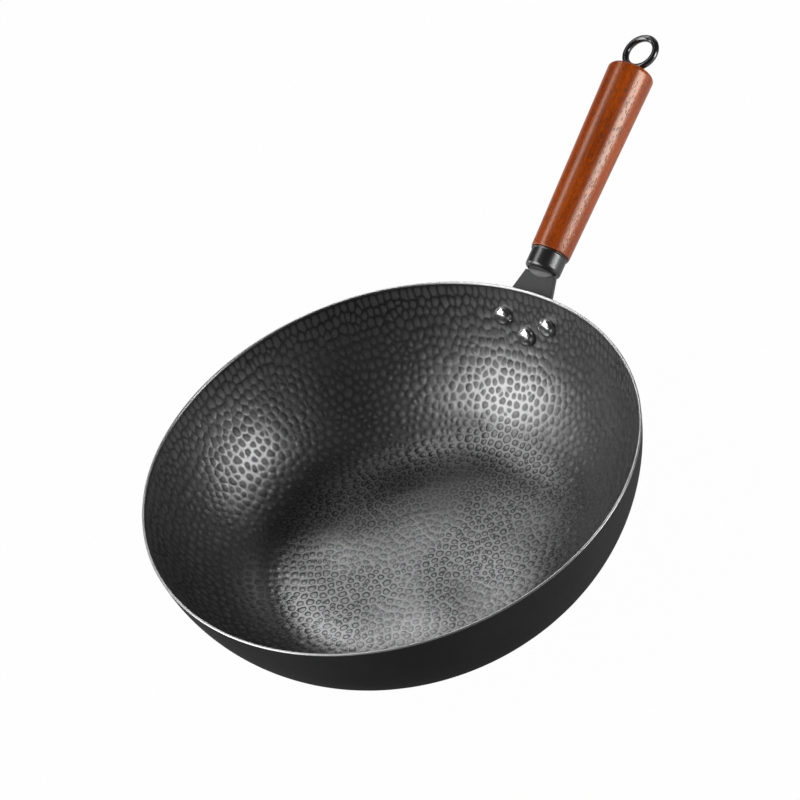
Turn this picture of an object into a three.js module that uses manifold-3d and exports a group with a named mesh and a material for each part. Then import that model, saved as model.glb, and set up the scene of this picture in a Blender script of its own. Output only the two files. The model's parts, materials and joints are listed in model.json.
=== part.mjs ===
// Hammered iron wok with a long handle: a thin bowl, a strap riveted to its wall, a ferrule,
// a turned wooden grip and the long eye bolt that clamps them together and hangs the wok up.
// Millimetres, +Z up. The origin is the middle of the flat base, and the handle points along +X.
import * as THREE from "three";
import { mergeVertices } from "three/addons/utils/BufferGeometryUtils.js";
import Module from "manifold-3d";

const wasm = await Module();
wasm.setup();

const { degToRad, lerp, smoothstep } = THREE.MathUtils;

// Clearance left between pieces that touch on the real object
const GAP = 0.3;

// How closely points are joined and heights are found
const JOIN = 1e-4;
const CLOSE = 1e-6;

// Bowl: one sheet, nearly upright at the ground rim and running tangent into a flat base
const RIM_R = 160;
const BOWL_H = 98;
const BASE_R = 68;
const WALL = 1.6;
const RIM_LEAN = degToRad(3.7);
const RIM_PULL = 0.49; // how far the upright run at the rim carries down, as a share of the height
const BASE_PULL = 0.605; // how far the flat run of the base carries out, as a share of the flare
const BOWL_SIDES = 84;
const BOWL_STEPS = 16;

// Handle axis: rises from the ferrule's mouth, which stands out from the rim
const MOUTH_X = 181.4;
const MOUTH_Z = 95.3;
const HANDLE_RISE = degToRad(24.7);

// Strap: thick sheet, a three-eared leaf on the wall and a tapering neck bent out to the ferrule
const STRAP_T = 3;
const STRAP_DROP = 0.2; // its middle lies this far under the handle axis
const LEAF_FOOT_Z = 48;
const BEND_START_Z = 78;
const EAR_R = 9;
const EAR_TOP = degToRad(45); // where an ear's round gives way to the straight run to the neck
const NECK_HALF = 15.9;
const STRAP_END_HALF = 12.1;
const BEND_STEPS = 8;
const LEAF_STEPS = 10;
const CURL_STEPS = 20;

// Rivets: a pair at the top of the leaf and one below between them
const PAIR_Z = 74.5;
const PAIR_TURN = degToRad(6.6);
const LOWER_Z = 63;
const SHANK_R = 2.5;
const HEAD_R = 6.5;
const HEAD_H = 5.1;
const HEAD_EDGE = 1.7;
const HEAD_LIFT = 0.5; // a flat head clears the hollow wall by a little more than the usual gap
const TAIL_R = 4.6;
const TAIL_H = 2.2;
const TAIL_EDGE = 0.8;
const RIVET_SIDES = 20;
const DRILL_L = 24; // well through wall and strap

// Ferrule: a short tube with its mouth rolled in and a thin lip against the wood
const FERRULE_R = 12.5;
const FERRULE_WALL = 1;
const FERRULE_L = 14.2;
const MOUTH_ROLL = 2.85;
const LIP_R = 13.3;
const LIP_L = 1.2;

// Plug: a tapped steel button in the ferrule's mouth, welded to the end of the strap
const PLUG_COLLAR_AT = 4;
const PLUG_L = 8;
const PLUG_TAP_FLOOR = 2;

// Grip: a plain cone that thickens to its rounded end, with a tenon in the ferrule
const TENON_AT = 8.4;
const SHOULDER_R = 13;
const GRIP_NECK_R = 13.75;
const GRIP_TIP_R = 16.55;
const GRIP_TIP_AT = 152.4;
const GRIP_END_AT = 156.7;
const GRIP_END_R = 12.6;
const GRIP_DOME = 0.5;
const BORE_R = 2.8;
const GRIP_SIDES = 40;
const ROUND_STEPS = 6;

// Eye bolt: a round bar through the grip into the plug, ending in a closed ring
const BAR_R = 2.4;
const BAR_FOOT = 2.5;
const EYE_R = 11.45;
const EYE_AT = 170.9;
const EYE_TURN = degToRad(5.5); // where its thread comes up tight
const EYE_SIDES = 40;
const BAR_SIDES = 16;

// Closed solid from a surface, for cutting
function solidOf(geometry) {
  const bare = geometry.clone();
  bare.deleteAttribute("normal");
  bare.deleteAttribute("uv");
  const joined = mergeVertices(bare, JOIN);
  return new wasm.Manifold(
    new wasm.Mesh({
      numProp: 3,
      vertProperties: new Float32Array(joined.attributes.position.array),
      triVerts: new Uint32Array(joined.index.array),
    }),
  );
}

// Surface from a cut solid
function surfaceOf(solid) {
  const mesh = solid.getMesh();
  const geometry = new THREE.BufferGeometry();
  geometry.setAttribute("position", new THREE.BufferAttribute(mesh.vertProperties, mesh.numProp));
  geometry.setIndex(new THREE.BufferAttribute(mesh.triVerts, 1));
  geometry.computeVertexNormals();
  return geometry;
}

// Turned shape about Y from radius and length pairs, run upward on the outside
function turned(pairs, sides) {
  return new THREE.LatheGeometry(
    pairs.map(([r, y]) => new THREE.Vector2(r, y)),
    sides,
  );
}

// Points of a quarter round or other arc, as radius and length pairs
function arcPairs(r, y, radius, from, to, steps) {
  const pairs = [];
  for (let i = 0; i <= steps; i++) {
    const angle = lerp(from, to, i / steps);
    pairs.push([r + radius * Math.cos(angle), y + radius * Math.sin(angle)]);
  }
  return pairs;
}

// Outer wall of the bowl, from the rim down to the edge of the base
const wall = new THREE.CubicBezierCurve(
  new THREE.Vector2(RIM_R, BOWL_H),
  new THREE.Vector2(
    RIM_R - RIM_PULL * BOWL_H * Math.sin(RIM_LEAN),
    BOWL_H - RIM_PULL * BOWL_H * Math.cos(RIM_LEAN),
  ),
  new THREE.Vector2(BASE_R + BASE_PULL * (RIM_R - BASE_R), 0),
  new THREE.Vector2(BASE_R, 0),
);

// Point of the wall at a share of its length, moved out from the wall, and the lean of the wall there
function wallPoint(share, out) {
  const point = wall.getPoint(share);
  const down = wall.getTangent(share);
  const lean = Math.atan2(-down.x, -down.y);
  return { x: point.x + out * Math.cos(lean), z: point.y - out * Math.sin(lean), lean };
}

// The same, at a height
function wallAt(z, out) {
  let low = 0;
  let high = 1;
  while (high - low > CLOSE) {
    const middle = (low + high) / 2;
    if (wall.getPoint(middle).y > z) {
      low = middle;
    } else {
      high = middle;
    }
  }
  return wallPoint(low, out);
}

// Places a turned shape on the wall with +Y pointing into the bowl
function onWall(z, turn, out) {
  const at = wallAt(z, out);
  const inward = new THREE.Matrix4().makeRotationZ(Math.PI / 2 - at.lean);
  const upright = new THREE.Matrix4().makeRotationX(Math.PI / 2);
  const stand = new THREE.Matrix4().makeTranslation(at.x, 0, at.z);
  const swing = new THREE.Matrix4().makeRotationZ(turn);
  return swing.multiply(stand).multiply(upright).multiply(inward);
}

const rivetPlaces = {
  rivet_left: onWall(PAIR_Z, PAIR_TURN, -WALL),
  rivet_right: onWall(PAIR_Z, -PAIR_TURN, -WALL),
  rivet_lower: onWall(LOWER_Z, 0, -WALL),
};

// Takes the three rivet holes out of a solid
function pierced(solid) {
  const drill = new THREE.CylinderGeometry(SHANK_R + GAP, SHANK_R + GAP, DRILL_L, RIVET_SIDES);
  let left = solid;
  for (const place of Object.values(rivetPlaces)) {
    left = left.subtract(solidOf(drill.clone().applyMatrix4(place)));
  }
  return left;
}

function bowlGeometry() {
  const outside = [];
  const inside = [];
  for (let i = 0; i <= BOWL_STEPS; i++) {
    const outer = wallPoint(i / BOWL_STEPS, 0);
    const inner = wallPoint(i / BOWL_STEPS, -WALL);
    outside.unshift([outer.x, outer.z]);
    inside.push([inner.x, i === 0 ? BOWL_H : inner.z]);
  }
  const shell = turned([[0, 0], ...outside, ...inside, [0, WALL]], BOWL_SIDES);
  return surfaceOf(pierced(solidOf(shell.rotateX(Math.PI / 2))));
}

// Middle line of the strap: up the wall, round the bend and out to the ferrule, with the side
// that faces away from the bowl as an angle below level
function strapLine() {
  const line = [];
  for (let i = 0; i <= LEAF_STEPS; i++) {
    const at = wallAt(lerp(LEAF_FOOT_Z, BEND_START_Z, i / LEAF_STEPS), GAP + STRAP_T / 2);
    line.push({ x: at.x, z: at.z, facing: at.lean });
  }
  const start = line.at(-1);
  const facing = Math.PI / 2 - HANDLE_RISE;
  const under = new THREE.Vector2(Math.cos(facing), -Math.sin(facing));
  const along = new THREE.Vector2(Math.cos(HANDLE_RISE), Math.sin(HANDLE_RISE));
  const end = new THREE.Vector2(MOUTH_X, MOUTH_Z).addScaledVector(under, STRAP_DROP).addScaledVector(along, -GAP);
  const away = new THREE.Vector2(Math.cos(start.facing), -Math.sin(start.facing));
  const height = new THREE.Vector2(start.x, start.z).sub(end).dot(under);
  const radius = height / (1 - away.dot(under));
  for (let i = 1; i <= BEND_STEPS; i++) {
    const turn = lerp(start.facing, facing, i / BEND_STEPS);
    line.push({
      x: start.x + radius * (Math.cos(start.facing) - Math.cos(turn)),
      z: start.z - radius * (Math.sin(start.facing) - Math.sin(turn)),
      facing: turn,
    });
  }
  line.push({ x: end.x, z: end.y, facing });
  return line;
}

// Outline of the leaf seen along the handle: a rounded ear about each rivet, drawn in to the neck
function leafOutline(neckZ) {
  const pairY = wallAt(PAIR_Z, 0).x * Math.sin(PAIR_TURN);
  const slope = Math.atan2(PAIR_Z - LOWER_Z, pairY) - Math.PI / 2;
  const shape = new THREE.Shape();
  shape.absarc(0, LOWER_Z, EAR_R, -Math.PI - slope, slope, false);
  shape.absarc(pairY, PAIR_Z, EAR_R, slope, EAR_TOP, false);
  shape.lineTo(NECK_HALF, neckZ);
  shape.lineTo(NECK_HALF, 2 * BOWL_H);
  shape.lineTo(-NECK_HALF, 2 * BOWL_H);
  shape.lineTo(-NECK_HALF, neckZ);
  shape.absarc(-pairY, PAIR_Z, EAR_R, Math.PI - EAR_TOP, Math.PI - slope, false);
  shape.closePath();
  return shape;
}

// Outline of the neck seen from above, as wide as need be where the leaf begins
function neckOutline(neckX, endX) {
  const shape = new THREE.Shape();
  shape.moveTo(0, -RIM_R);
  shape.lineTo(neckX, -RIM_R);
  shape.lineTo(neckX, -NECK_HALF);
  shape.lineTo(endX, -STRAP_END_HALF);
  shape.lineTo(endX + STRAP_T, -STRAP_END_HALF);
  shape.lineTo(endX + STRAP_T, STRAP_END_HALF);
  shape.lineTo(endX, STRAP_END_HALF);
  shape.lineTo(neckX, NECK_HALF);
  shape.lineTo(neckX, RIM_R);
  shape.lineTo(0, RIM_R);
  shape.closePath();
  return shape;
}

function strapGeometry() {
  const line = strapLine();
  const side = (reach) =>
    line.map((p) => new THREE.Vector2(p.x + reach * Math.cos(p.facing), p.z - reach * Math.sin(p.facing)));
  const section = new THREE.Shape([...side(STRAP_T / 2), ...side(-STRAP_T / 2).reverse()]);
  const width = 2 * (NECK_HALF + 2 * EAR_R);
  const sheet = new THREE.ExtrudeGeometry(section, { depth: width, steps: CURL_STEPS, bevelEnabled: false });
  sheet.translate(0, 0, -width / 2);
  sheet.rotateX(Math.PI / 2);

  // The leaf wraps round the bowl, and the neck comes out of the bend flat
  const bendEnd = line.at(-2);
  const end = line.at(-1);
  const spots = sheet.attributes.position;
  for (let i = 0; i < spots.count; i++) {
    const [x, y, z] = [spots.getX(i), spots.getY(i), spots.getZ(i)];
    const wrap = 1 - smoothstep(z, BEND_START_Z, bendEnd.z);
    spots.setX(i, lerp(x, x * Math.cos(y / x), wrap));
    spots.setY(i, lerp(y, x * Math.sin(y / x), wrap));
  }

  const leaf = new THREE.ExtrudeGeometry(leafOutline(bendEnd.z - STRAP_T), { depth: 2 * RIM_R, bevelEnabled: false });
  const alongX = new THREE.Matrix4().makeBasis(
    new THREE.Vector3(0, 1, 0),
    new THREE.Vector3(0, 0, 1),
    new THREE.Vector3(1, 0, 0),
  );
  leaf.applyMatrix4(alongX);
  const neck = new THREE.ExtrudeGeometry(neckOutline(bendEnd.x, end.x), { depth: 2 * BOWL_H, bevelEnabled: false });
  const cut = solidOf(sheet).intersect(solidOf(leaf)).intersect(solidOf(neck));
  return surfaceOf(pierced(cut));
}

function rivetGeometry() {
  const tailAt = -(WALL + STRAP_T + 2 * GAP);
  const domeR = (HEAD_R ** 2 + (HEAD_H - HEAD_EDGE) ** 2) / (2 * (HEAD_H - HEAD_EDGE));
  const domeFrom = Math.acos(HEAD_R / domeR);
  const dome = arcPairs(0, HEAD_H - domeR + HEAD_LIFT, domeR, domeFrom, Math.PI / 2, ROUND_STEPS).slice(0, -1);
  return turned(
    [
      [0, tailAt - TAIL_H],
      [TAIL_R - TAIL_EDGE, tailAt - TAIL_H],
      [TAIL_R, tailAt - TAIL_H + TAIL_EDGE],
      [TAIL_R, tailAt],
      [SHANK_R, tailAt],
      [SHANK_R, HEAD_LIFT],
      [HEAD_R, HEAD_LIFT],
      ...dome,
      [0, HEAD_H + HEAD_LIFT],
    ],
    RIVET_SIDES,
  );
}

function ferruleGeometry() {
  const inner = FERRULE_R - FERRULE_WALL;
  const rollR = FERRULE_R - MOUTH_ROLL;
  const outerRoll = arcPairs(rollR, MOUTH_ROLL, MOUTH_ROLL, -Math.PI / 2, 0, ROUND_STEPS);
  const innerRoll = arcPairs(rollR, MOUTH_ROLL, MOUTH_ROLL - FERRULE_WALL, 0, -Math.PI / 2, ROUND_STEPS);
  return turned(
    [
      ...outerRoll,
      [FERRULE_R, FERRULE_L - LIP_L],
      [LIP_R, FERRULE_L - LIP_L / 2],
      [LIP_R, FERRULE_L],
      [inner, FERRULE_L],
      ...innerRoll,
      outerRoll[0],
    ],
    GRIP_SIDES,
  );
}

function plugGeometry() {
  const neckR = FERRULE_R - MOUTH_ROLL - GAP;
  const collarR = FERRULE_R - FERRULE_WALL - GAP;
  return turned(
    [
      [0, 0],
      [neckR, 0],
      [neckR, PLUG_COLLAR_AT],
      [collarR, PLUG_COLLAR_AT],
      [collarR, PLUG_L],
      [BAR_R + GAP, PLUG_L],
      [BAR_R + GAP, PLUG_TAP_FLOOR],
      [0, PLUG_TAP_FLOOR],
    ],
    GRIP_SIDES,
  );
}

function gripGeometry() {
  const shoulderAt = FERRULE_L + GAP;
  const tenonR = FERRULE_R - FERRULE_WALL - GAP;
  const neckRound = GRIP_NECK_R - SHOULDER_R;
  const endRound = [];
  for (let i = 0; i <= ROUND_STEPS; i++) {
    const angle = (i / ROUND_STEPS) * (Math.PI / 2);
    endRound.push([
      lerp(GRIP_END_R, GRIP_TIP_R, Math.cos(angle)),
      lerp(GRIP_TIP_AT, GRIP_END_AT - GRIP_DOME, Math.sin(angle)),
    ]);
  }
  return turned(
    [
      [BORE_R, TENON_AT],
      [tenonR, TENON_AT],
      [tenonR, shoulderAt],
      [SHOULDER_R, shoulderAt],
      [GRIP_NECK_R, shoulderAt + neckRound],
      ...endRound,
      [BORE_R, GRIP_END_AT],
      [BORE_R, TENON_AT],
    ],
    GRIP_SIDES,
  );
}

function eyeBoltGeometry() {
  const ring = new THREE.TorusGeometry(EYE_R, BAR_R, BAR_SIDES, EYE_SIDES);
  ring.rotateY(Math.PI / 2 + EYE_TURN);
  ring.translate(0, EYE_AT, 0);
  const length = EYE_AT - EYE_R - BAR_FOOT;
  const bar = new THREE.CylinderGeometry(BAR_R, BAR_R, length, BAR_SIDES);
  bar.translate(0, BAR_FOOT + length / 2, 0);
  return surfaceOf(solidOf(ring).add(solidOf(bar)));
}

function piece(name, geometry, color, roughness, metalness) {
  const mesh = new THREE.Mesh(geometry, new THREE.MeshStandardMaterial({ color, roughness, metalness }));
  mesh.name = name;
  return mesh;
}

const group = new THREE.Group();
group.name = "wok";
group.add(piece("wok_bowl", bowlGeometry(), 0x3b3b3c, 0.45, 0.9));
group.add(piece("handle_strap", strapGeometry(), 0x424243, 0.5, 0.7));
for (const [name, place] of Object.entries(rivetPlaces)) {
  const rivet = piece(name, rivetGeometry(), 0xa9a9ab, 0.2, 1);
  rivet.applyMatrix4(place);
  group.add(rivet);
}

// Handle pieces are turned about their own length, which points up and out from the ferrule's mouth
const handle = new THREE.Group();
handle.name = "handle";
handle.position.set(MOUTH_X, 0, MOUTH_Z);
handle.setRotationFromMatrix(
  new THREE.Matrix4().makeBasis(
    new THREE.Vector3(-Math.sin(HANDLE_RISE), 0, Math.cos(HANDLE_RISE)),
    new THREE.Vector3(Math.cos(HANDLE_RISE), 0, Math.sin(HANDLE_RISE)),
    new THREE.Vector3(0, 1, 0),
  ),
);
handle.add(piece("strap_plug", plugGeometry(), 0x4a4a4b, 0.5, 0.8));
handle.add(piece("ferrule", ferruleGeometry(), 0x17171a, 0.25, 0.3));
handle.add(piece("wood_grip", gripGeometry(), 0x6b2f22, 0.3, 0));
handle.add(piece("eye_bolt", eyeBoltGeometry(), 0x121214, 0.22, 0.3));
group.add(handle);

export default group;
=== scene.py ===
"""Looks of a hammered iron wok with a riveted wooden handle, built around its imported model."""

import json
import math
import random

import bpy
import numpy as np
from bpy.props import FloatProperty, FloatVectorProperty, IntProperty, PointerProperty
from bpy.types import Operator, Panel, PropertyGroup
from mathutils import Matrix, Vector
from mathutils.geometry import delaunay_2d_cdt


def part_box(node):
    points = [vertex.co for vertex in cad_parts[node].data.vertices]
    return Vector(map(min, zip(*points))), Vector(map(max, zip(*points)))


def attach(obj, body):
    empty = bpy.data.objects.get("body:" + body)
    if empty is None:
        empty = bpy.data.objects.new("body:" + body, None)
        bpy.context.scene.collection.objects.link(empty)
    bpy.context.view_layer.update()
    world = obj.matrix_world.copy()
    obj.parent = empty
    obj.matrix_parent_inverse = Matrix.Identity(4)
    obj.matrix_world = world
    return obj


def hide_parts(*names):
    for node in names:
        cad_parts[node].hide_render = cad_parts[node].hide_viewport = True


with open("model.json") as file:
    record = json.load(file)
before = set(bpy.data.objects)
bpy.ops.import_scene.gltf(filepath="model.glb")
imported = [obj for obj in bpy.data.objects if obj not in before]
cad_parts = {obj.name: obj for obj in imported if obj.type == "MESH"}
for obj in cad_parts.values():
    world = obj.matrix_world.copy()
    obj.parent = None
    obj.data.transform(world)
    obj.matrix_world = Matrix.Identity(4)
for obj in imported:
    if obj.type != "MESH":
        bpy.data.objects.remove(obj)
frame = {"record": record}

bl_info = {
    "name": "Hammered wok",
    "version": (1, 0, 0),
    "blender": (4, 5, 0),
    "location": "3D View > Sidebar > Wok",
    "description": "Builds the finished pieces of a hammered wok with a riveted wooden handle",
    "category": "Object",
}

MM = 0.001
SENSOR_WIDTH = 36
FULL_TURN = 2 * math.pi

# Room between the fitted pieces of the handle
FIT = 0.3 * MM

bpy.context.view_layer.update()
BOWL_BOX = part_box("wok_bowl")
EYE_JOINT = frame["record"]["behaviour"]["joints"][0]
HANDLE_MOUTH = Vector(EYE_JOINT["pos_m"])
HANDLE_ALONG = Vector(EYE_JOINT["axis"]).normalized()


# Sizes and colours


def length(name, description, default):
    return FloatProperty(name=name, description=description, default=default, unit="LENGTH", precision=5)


def angle(name, description, degrees):
    return FloatProperty(name=name, description=description, default=math.radians(degrees), subtype="ANGLE")


def share(name, description, default):
    return FloatProperty(
        name=name, description=description, default=default, min=0, max=1, subtype="FACTOR"
    )


def colour(name, description, default):
    return FloatVectorProperty(
        name=name, description=description, default=default, min=0, max=1, subtype="COLOR"
    )


def vector(name, description, default, subtype="NONE"):
    return FloatVectorProperty(name=name, description=description, default=default, subtype=subtype)


def glow(name, description, default):
    return FloatProperty(name=name, description=description, default=default, min=0)


def seed(name, description, default):
    return IntProperty(name=name, description=description, default=default)


class BowlSettings(PropertyGroup):
    rim_radius: length("Rim radius", "Outside radius at the rim", BOWL_BOX[1][0])
    depth: length("Depth", "Height of the rim above the base", BOWL_BOX[1][2])
    base_radius: length("Base radius", "Radius of the flat base", 68 * MM)
    wall: length("Wall", "Thickness of the iron", 1.6 * MM)
    rim_lean: angle("Rim lean", "How far the wall leans out at the rim", 3.7)
    rim_pull: share("Rim pull", "How far down the upright run at the rim carries", 0.49)
    base_pull: share("Base pull", "How far out the flat run of the base carries", 0.605)
    hollow: length("Hollow", "How far the base inside is sunk in its middle", 0.5 * MM)
    hollow_reach: length("Hollow reach", "Radius out to which the hollow runs", 114.7 * MM)
    hollow_slope: share("Hollow slope", "Slope of the hollow that grows evenly from its middle", 0.12)
    unevenness: length("Unevenness", "Height of each of the broad waves left by the hammering", 0.07 * MM)
    plain_band: length("Plain band", "Smooth band between the hammer marks and the rim", 1.3 * MM)
    base_pitch: length("Base pitch", "Distance between neighbouring hammer marks of the base", 6.3 * MM)
    mark_pitch: length("Mark pitch", "The same on the wall", 6.1 * MM)
    mark_depth: length("Mark depth", "Depth of a full hammer mark", 0.17 * MM)
    net_width: length("Net width", "Width of the flat left standing between marks of the base", 1.8 * MM)
    rim_net_width: length("Rim net width", "The same between the marks under the rim", 0.36 * MM)
    mark_stretch: share("Mark stretch", "How tall the marks are drawn out at the rim", 0.37)
    mark_seed: seed("Mark seed", "Which scatter of marks is made", 7)
    wave_seed: seed("Wave seed", "Which set of broad waves is made", 346)
    inside_colour: colour("Inside", "Reflection of the iron inside", (0.23, 0.23, 0.232))
    outside_colour: colour("Outside", "Dark skin outside", (0.03, 0.03, 0.0305))
    rim_colour: colour("Rim", "Bare iron of the ground rim", (0.58, 0.58, 0.585))


class StrapSettings(PropertyGroup):
    thickness: length("Thickness", "Thickness of the strap", 3 * MM)
    drop: length("Drop", "Distance of its middle under the handle's axis", 0.2 * MM)
    gap: length("Gap", "Room left between the strap and its neighbours", 0.3 * MM)
    foot_height: length("Foot height", "Where the sheet begins on the wall", 48 * MM)
    bend_height: length("Bend height", "Where it leaves the wall", 78 * MM)
    ear_radius: length("Ear radius", "Round about each rivet", 9 * MM)
    neck_half: length("Neck half width", "Half width where the neck begins", 15.9 * MM)
    end_half: length("End half width", "Half width at the ferrule", 12.1 * MM)
    edge: length("Edge", "Easing of the cut edge", 0.45 * MM)
    paint: colour("Paint", "Dark grey satin finish", (0.061, 0.061, 0.062))
    weld_width: length("Weld width", "Width of the weld in front of the plug", 19 * MM)
    weld_length: length("Weld length", "How far the weld runs out along the strap", 3.6 * MM)
    weld_height: length("Weld height", "Height of the weld against the plug", 1.9 * MM)


class RivetSettings(PropertyGroup):
    pair_height: length("Pair height", "Height of the upper two rivets", 74.5 * MM)
    pair_turn: angle("Pair turn", "Turn of each of them from the handle", 6.6)
    lower_height: length("Lower height", "Height of the rivet between them", 63 * MM)
    shank_radius: length("Shank radius", "Radius of the shank", 2.5 * MM)
    head_radius: length("Head radius", "Radius of the domed head", 6.9 * MM)
    head_height: length("Head height", "Height of the domed head", 4.7 * MM)
    head_fullness: FloatProperty(name="Head fullness", description="2 is a plain oval dome", default=2.5)
    tail_radius: length("Tail radius", "Radius of the set tail", 4.6 * MM)
    tail_height: length("Tail height", "Height of the set tail", 2.2 * MM)
    metal: colour("Metal", "Polished steel", (0.78, 0.78, 0.79))


class FerruleSettings(PropertyGroup):
    radius: length("Radius", "Outside radius of the tube", 12.5 * MM)
    wall: length("Wall", "Thickness of the tube", 1 * MM)
    length: length("Length", "Length of the ferrule", 14.2 * MM)
    mouth_roll: length("Mouth roll", "Radius of the rolled mouth", 2.85 * MM)
    lip_radius: length("Lip radius", "Radius of the lip against the wood", 13.3 * MM)
    lip_length: length("Lip length", "Length of that lip", 1.2 * MM)
    enamel: colour("Enamel", "Gloss black finish", (0.012, 0.012, 0.0125))
    plug_collar_at: length("Plug collar", "Where the plug's collar begins", 4 * MM)
    plug_length: length("Plug length", "Length of the plug", 8 * MM)
    plug_steel: colour("Plug steel", "Dark steel of the plug's face", (0.1, 0.1, 0.101))


class GripSettings(PropertyGroup):
    tenon_at: length("Tenon", "Where the tenon begins in the ferrule", 8.4 * MM)
    shoulder_radius: length("Shoulder radius", "Radius at the ferrule's lip", 13 * MM)
    neck_radius: length("Neck radius", "Radius of the grip at its neck", 13.75 * MM)
    tip_radius: length("Tip radius", "Radius at the thick end", 16.51 * MM)
    tip_at: length("Tip", "Where the end begins to round", 152.4 * MM)
    end_at: length("End", "Where the grip ends", 156.7 * MM)
    end_radius: length("End radius", "Radius of the flat of the end", 12.6 * MM)
    dome: length("Dome", "Rise of that end", 0.5 * MM)
    bore_radius: length("Bore radius", "Radius of the bore for the bolt", 2.8 * MM)
    light_wood: colour("Light wood", "Pale flecks of the grain", (0.5, 0.086, 0.002))
    dark_wood: colour("Dark wood", "Dark streaks of the grain", (0.17, 0.021, 0.0005))
    pore: colour("Pore", "Open pores", (0.045, 0.009, 0.003))
    lacquer: colour("Lacquer", "Warm tint of the lacquer's shine", (1.0, 0.9, 0.78))


class EyeSettings(PropertyGroup):
    bar_radius: length("Bar radius", "Radius of the bar", 2.37 * MM)
    bar_foot: length("Bar foot", "Where the bar ends in the plug", 2.5 * MM)
    ring_radius: length("Ring radius", "Radius of the ring's middle line", 11.37 * MM)
    ring_at: length("Ring", "Middle of the ring along the handle", 170.9 * MM)
    ring_turn: angle("Ring turn", "Where the thread comes up tight", 5.5)


class StageSettings(PropertyGroup):
    camera_at: vector("Camera", "Place of the camera", (-0.55618, -0.66618, 0.89057), "TRANSLATION")
    camera_back: vector("Camera back", "Direction from the view to the camera", (-0.4955, -0.568, 0.6572))
    camera_up: vector("Camera up", "Direction that is up in the picture", (0.6577, 0.2489, 0.711))
    lens: FloatProperty(name="Lens", description="Focal length in millimetres", default=85)
    floor_colour: colour("Floor", "Grey of the floor under its white look", (0.42, 0.42, 0.42))
    room: share("Room", "Dim light from all round", 0.014)
    right_glow: glow("Right box", "Brightness of the soft box at the right", 8.4)
    right_low: glow("Right low", "Brightness of the low box under it, below the rim", 13)
    left_glow: glow("Left box", "Brightness of the soft box at the left", 5.4)
    left_low: glow("Left low", "Brightness of the long low box under it", 3.2)
    left_end: glow("Left end", "Brightness of the small box at its far end", 5.5)
    left_high: glow("Left high", "Brightness of the box over it", 3)
    far_glow: glow("Far box", "Brightness of the soft box beyond the wok", 10.5)
    far_fill: glow("Far fill", "Brightness of the dim box beside it", 0.8)


SETTINGS = {
    "wok_bowl": BowlSettings,
    "wok_strap": StrapSettings,
    "wok_rivets": RivetSettings,
    "wok_ferrule": FerruleSettings,
    "wok_grip": GripSettings,
    "wok_eye": EyeSettings,
    "wok_stage": StageSettings,
}


# Shaders


class Value:
    """A socket of a shader, so that sums on it are written as plain expressions."""

    def __init__(self, shader, node, out):
        self.shader = shader
        self.made = node
        self.socket = node.outputs[out]

    def out(self, name):
        return Value(self.shader, self.made, name)

    def sum(self, operation, first, second):
        return self.shader.node("ShaderNodeMath", {"operation": operation}, {0: first, 1: second})

    def __add__(self, other):
        return self.sum("ADD", self, other)

    def __radd__(self, other):
        return self.sum("ADD", other, self)

    def __sub__(self, other):
        return self.sum("SUBTRACT", self, other)

    def __rsub__(self, other):
        return self.sum("SUBTRACT", other, self)

    def __mul__(self, other):
        return self.sum("MULTIPLY", self, other)

    def __rmul__(self, other):
        return self.sum("MULTIPLY", other, self)


# Sockets of a Mix node that mixes colours
MIX_FACTOR, MIX_FIRST, MIX_SECOND, MIX_RESULT = 0, 6, 7, 2


class Shader:
    """Nodes of one material or world."""

    def __init__(self, owner):
        owner.use_nodes = True
        self.owner = owner
        self.tree = owner.node_tree
        self.tree.nodes.clear()

    def node(self, kind, settings=None, inputs=None, out=0):
        made = self.tree.nodes.new(kind)
        for name, setting in (settings or {}).items():
            setattr(made, name, setting)
        for key, given in (inputs or {}).items():
            if isinstance(given, Value):
                self.tree.links.new(given.socket, made.inputs[key])
            else:
                made.inputs[key].default_value = given
        return Value(self, made, out) if made.outputs else None

    def place(self):
        return self.node("ShaderNodeTexCoord", out="Object")

    def noise(self, place, scale, detail=3, roughness=0.5):
        inputs = {"Vector": place, "Scale": scale, "Detail": detail, "Roughness": roughness}
        return self.node("ShaderNodeTexNoise", {}, inputs)

    def stretched(self, place, factors):
        return self.node("ShaderNodeVectorMath", {"operation": "MULTIPLY"}, {0: place, 1: factors})

    def blend(self, factor, first, second):
        inputs = {MIX_FACTOR: factor, MIX_FIRST: first, MIX_SECOND: second}
        return self.node("ShaderNodeMix", {"data_type": "RGBA"}, inputs, MIX_RESULT)

    def shades(self, factor, shade, low, high):
        """One colour, between two levels of it."""
        return self.blend(factor, solid(shade, low), solid(shade, high))

    def between(self, value, low, high, to_low=0.0, to_high=1.0):
        return self.node(
            "ShaderNodeMapRange",
            {"interpolation_type": "SMOOTHSTEP"},
            {"Value": value, "From Min": low, "From Max": high, "To Min": to_low, "To Max": to_high},
        )

    def bump(self, height, distance, strength):
        inputs = {"Height": height, "Distance": distance, "Strength": strength}
        return self.node("ShaderNodeBump", {}, inputs)

    def surface(self, inputs):
        """The material, with one shader over all of it."""
        skin = self.node("ShaderNodeBsdfPrincipled", {}, inputs)
        self.node("ShaderNodeOutputMaterial", {}, {"Surface": skin})
        return self.owner


def solid(shade, level=1.0):
    return (shade[0] * level, shade[1] * level, shade[2] * level, 1.0)


def new_material(name):
    return Shader(bpy.data.materials.new(name))


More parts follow.
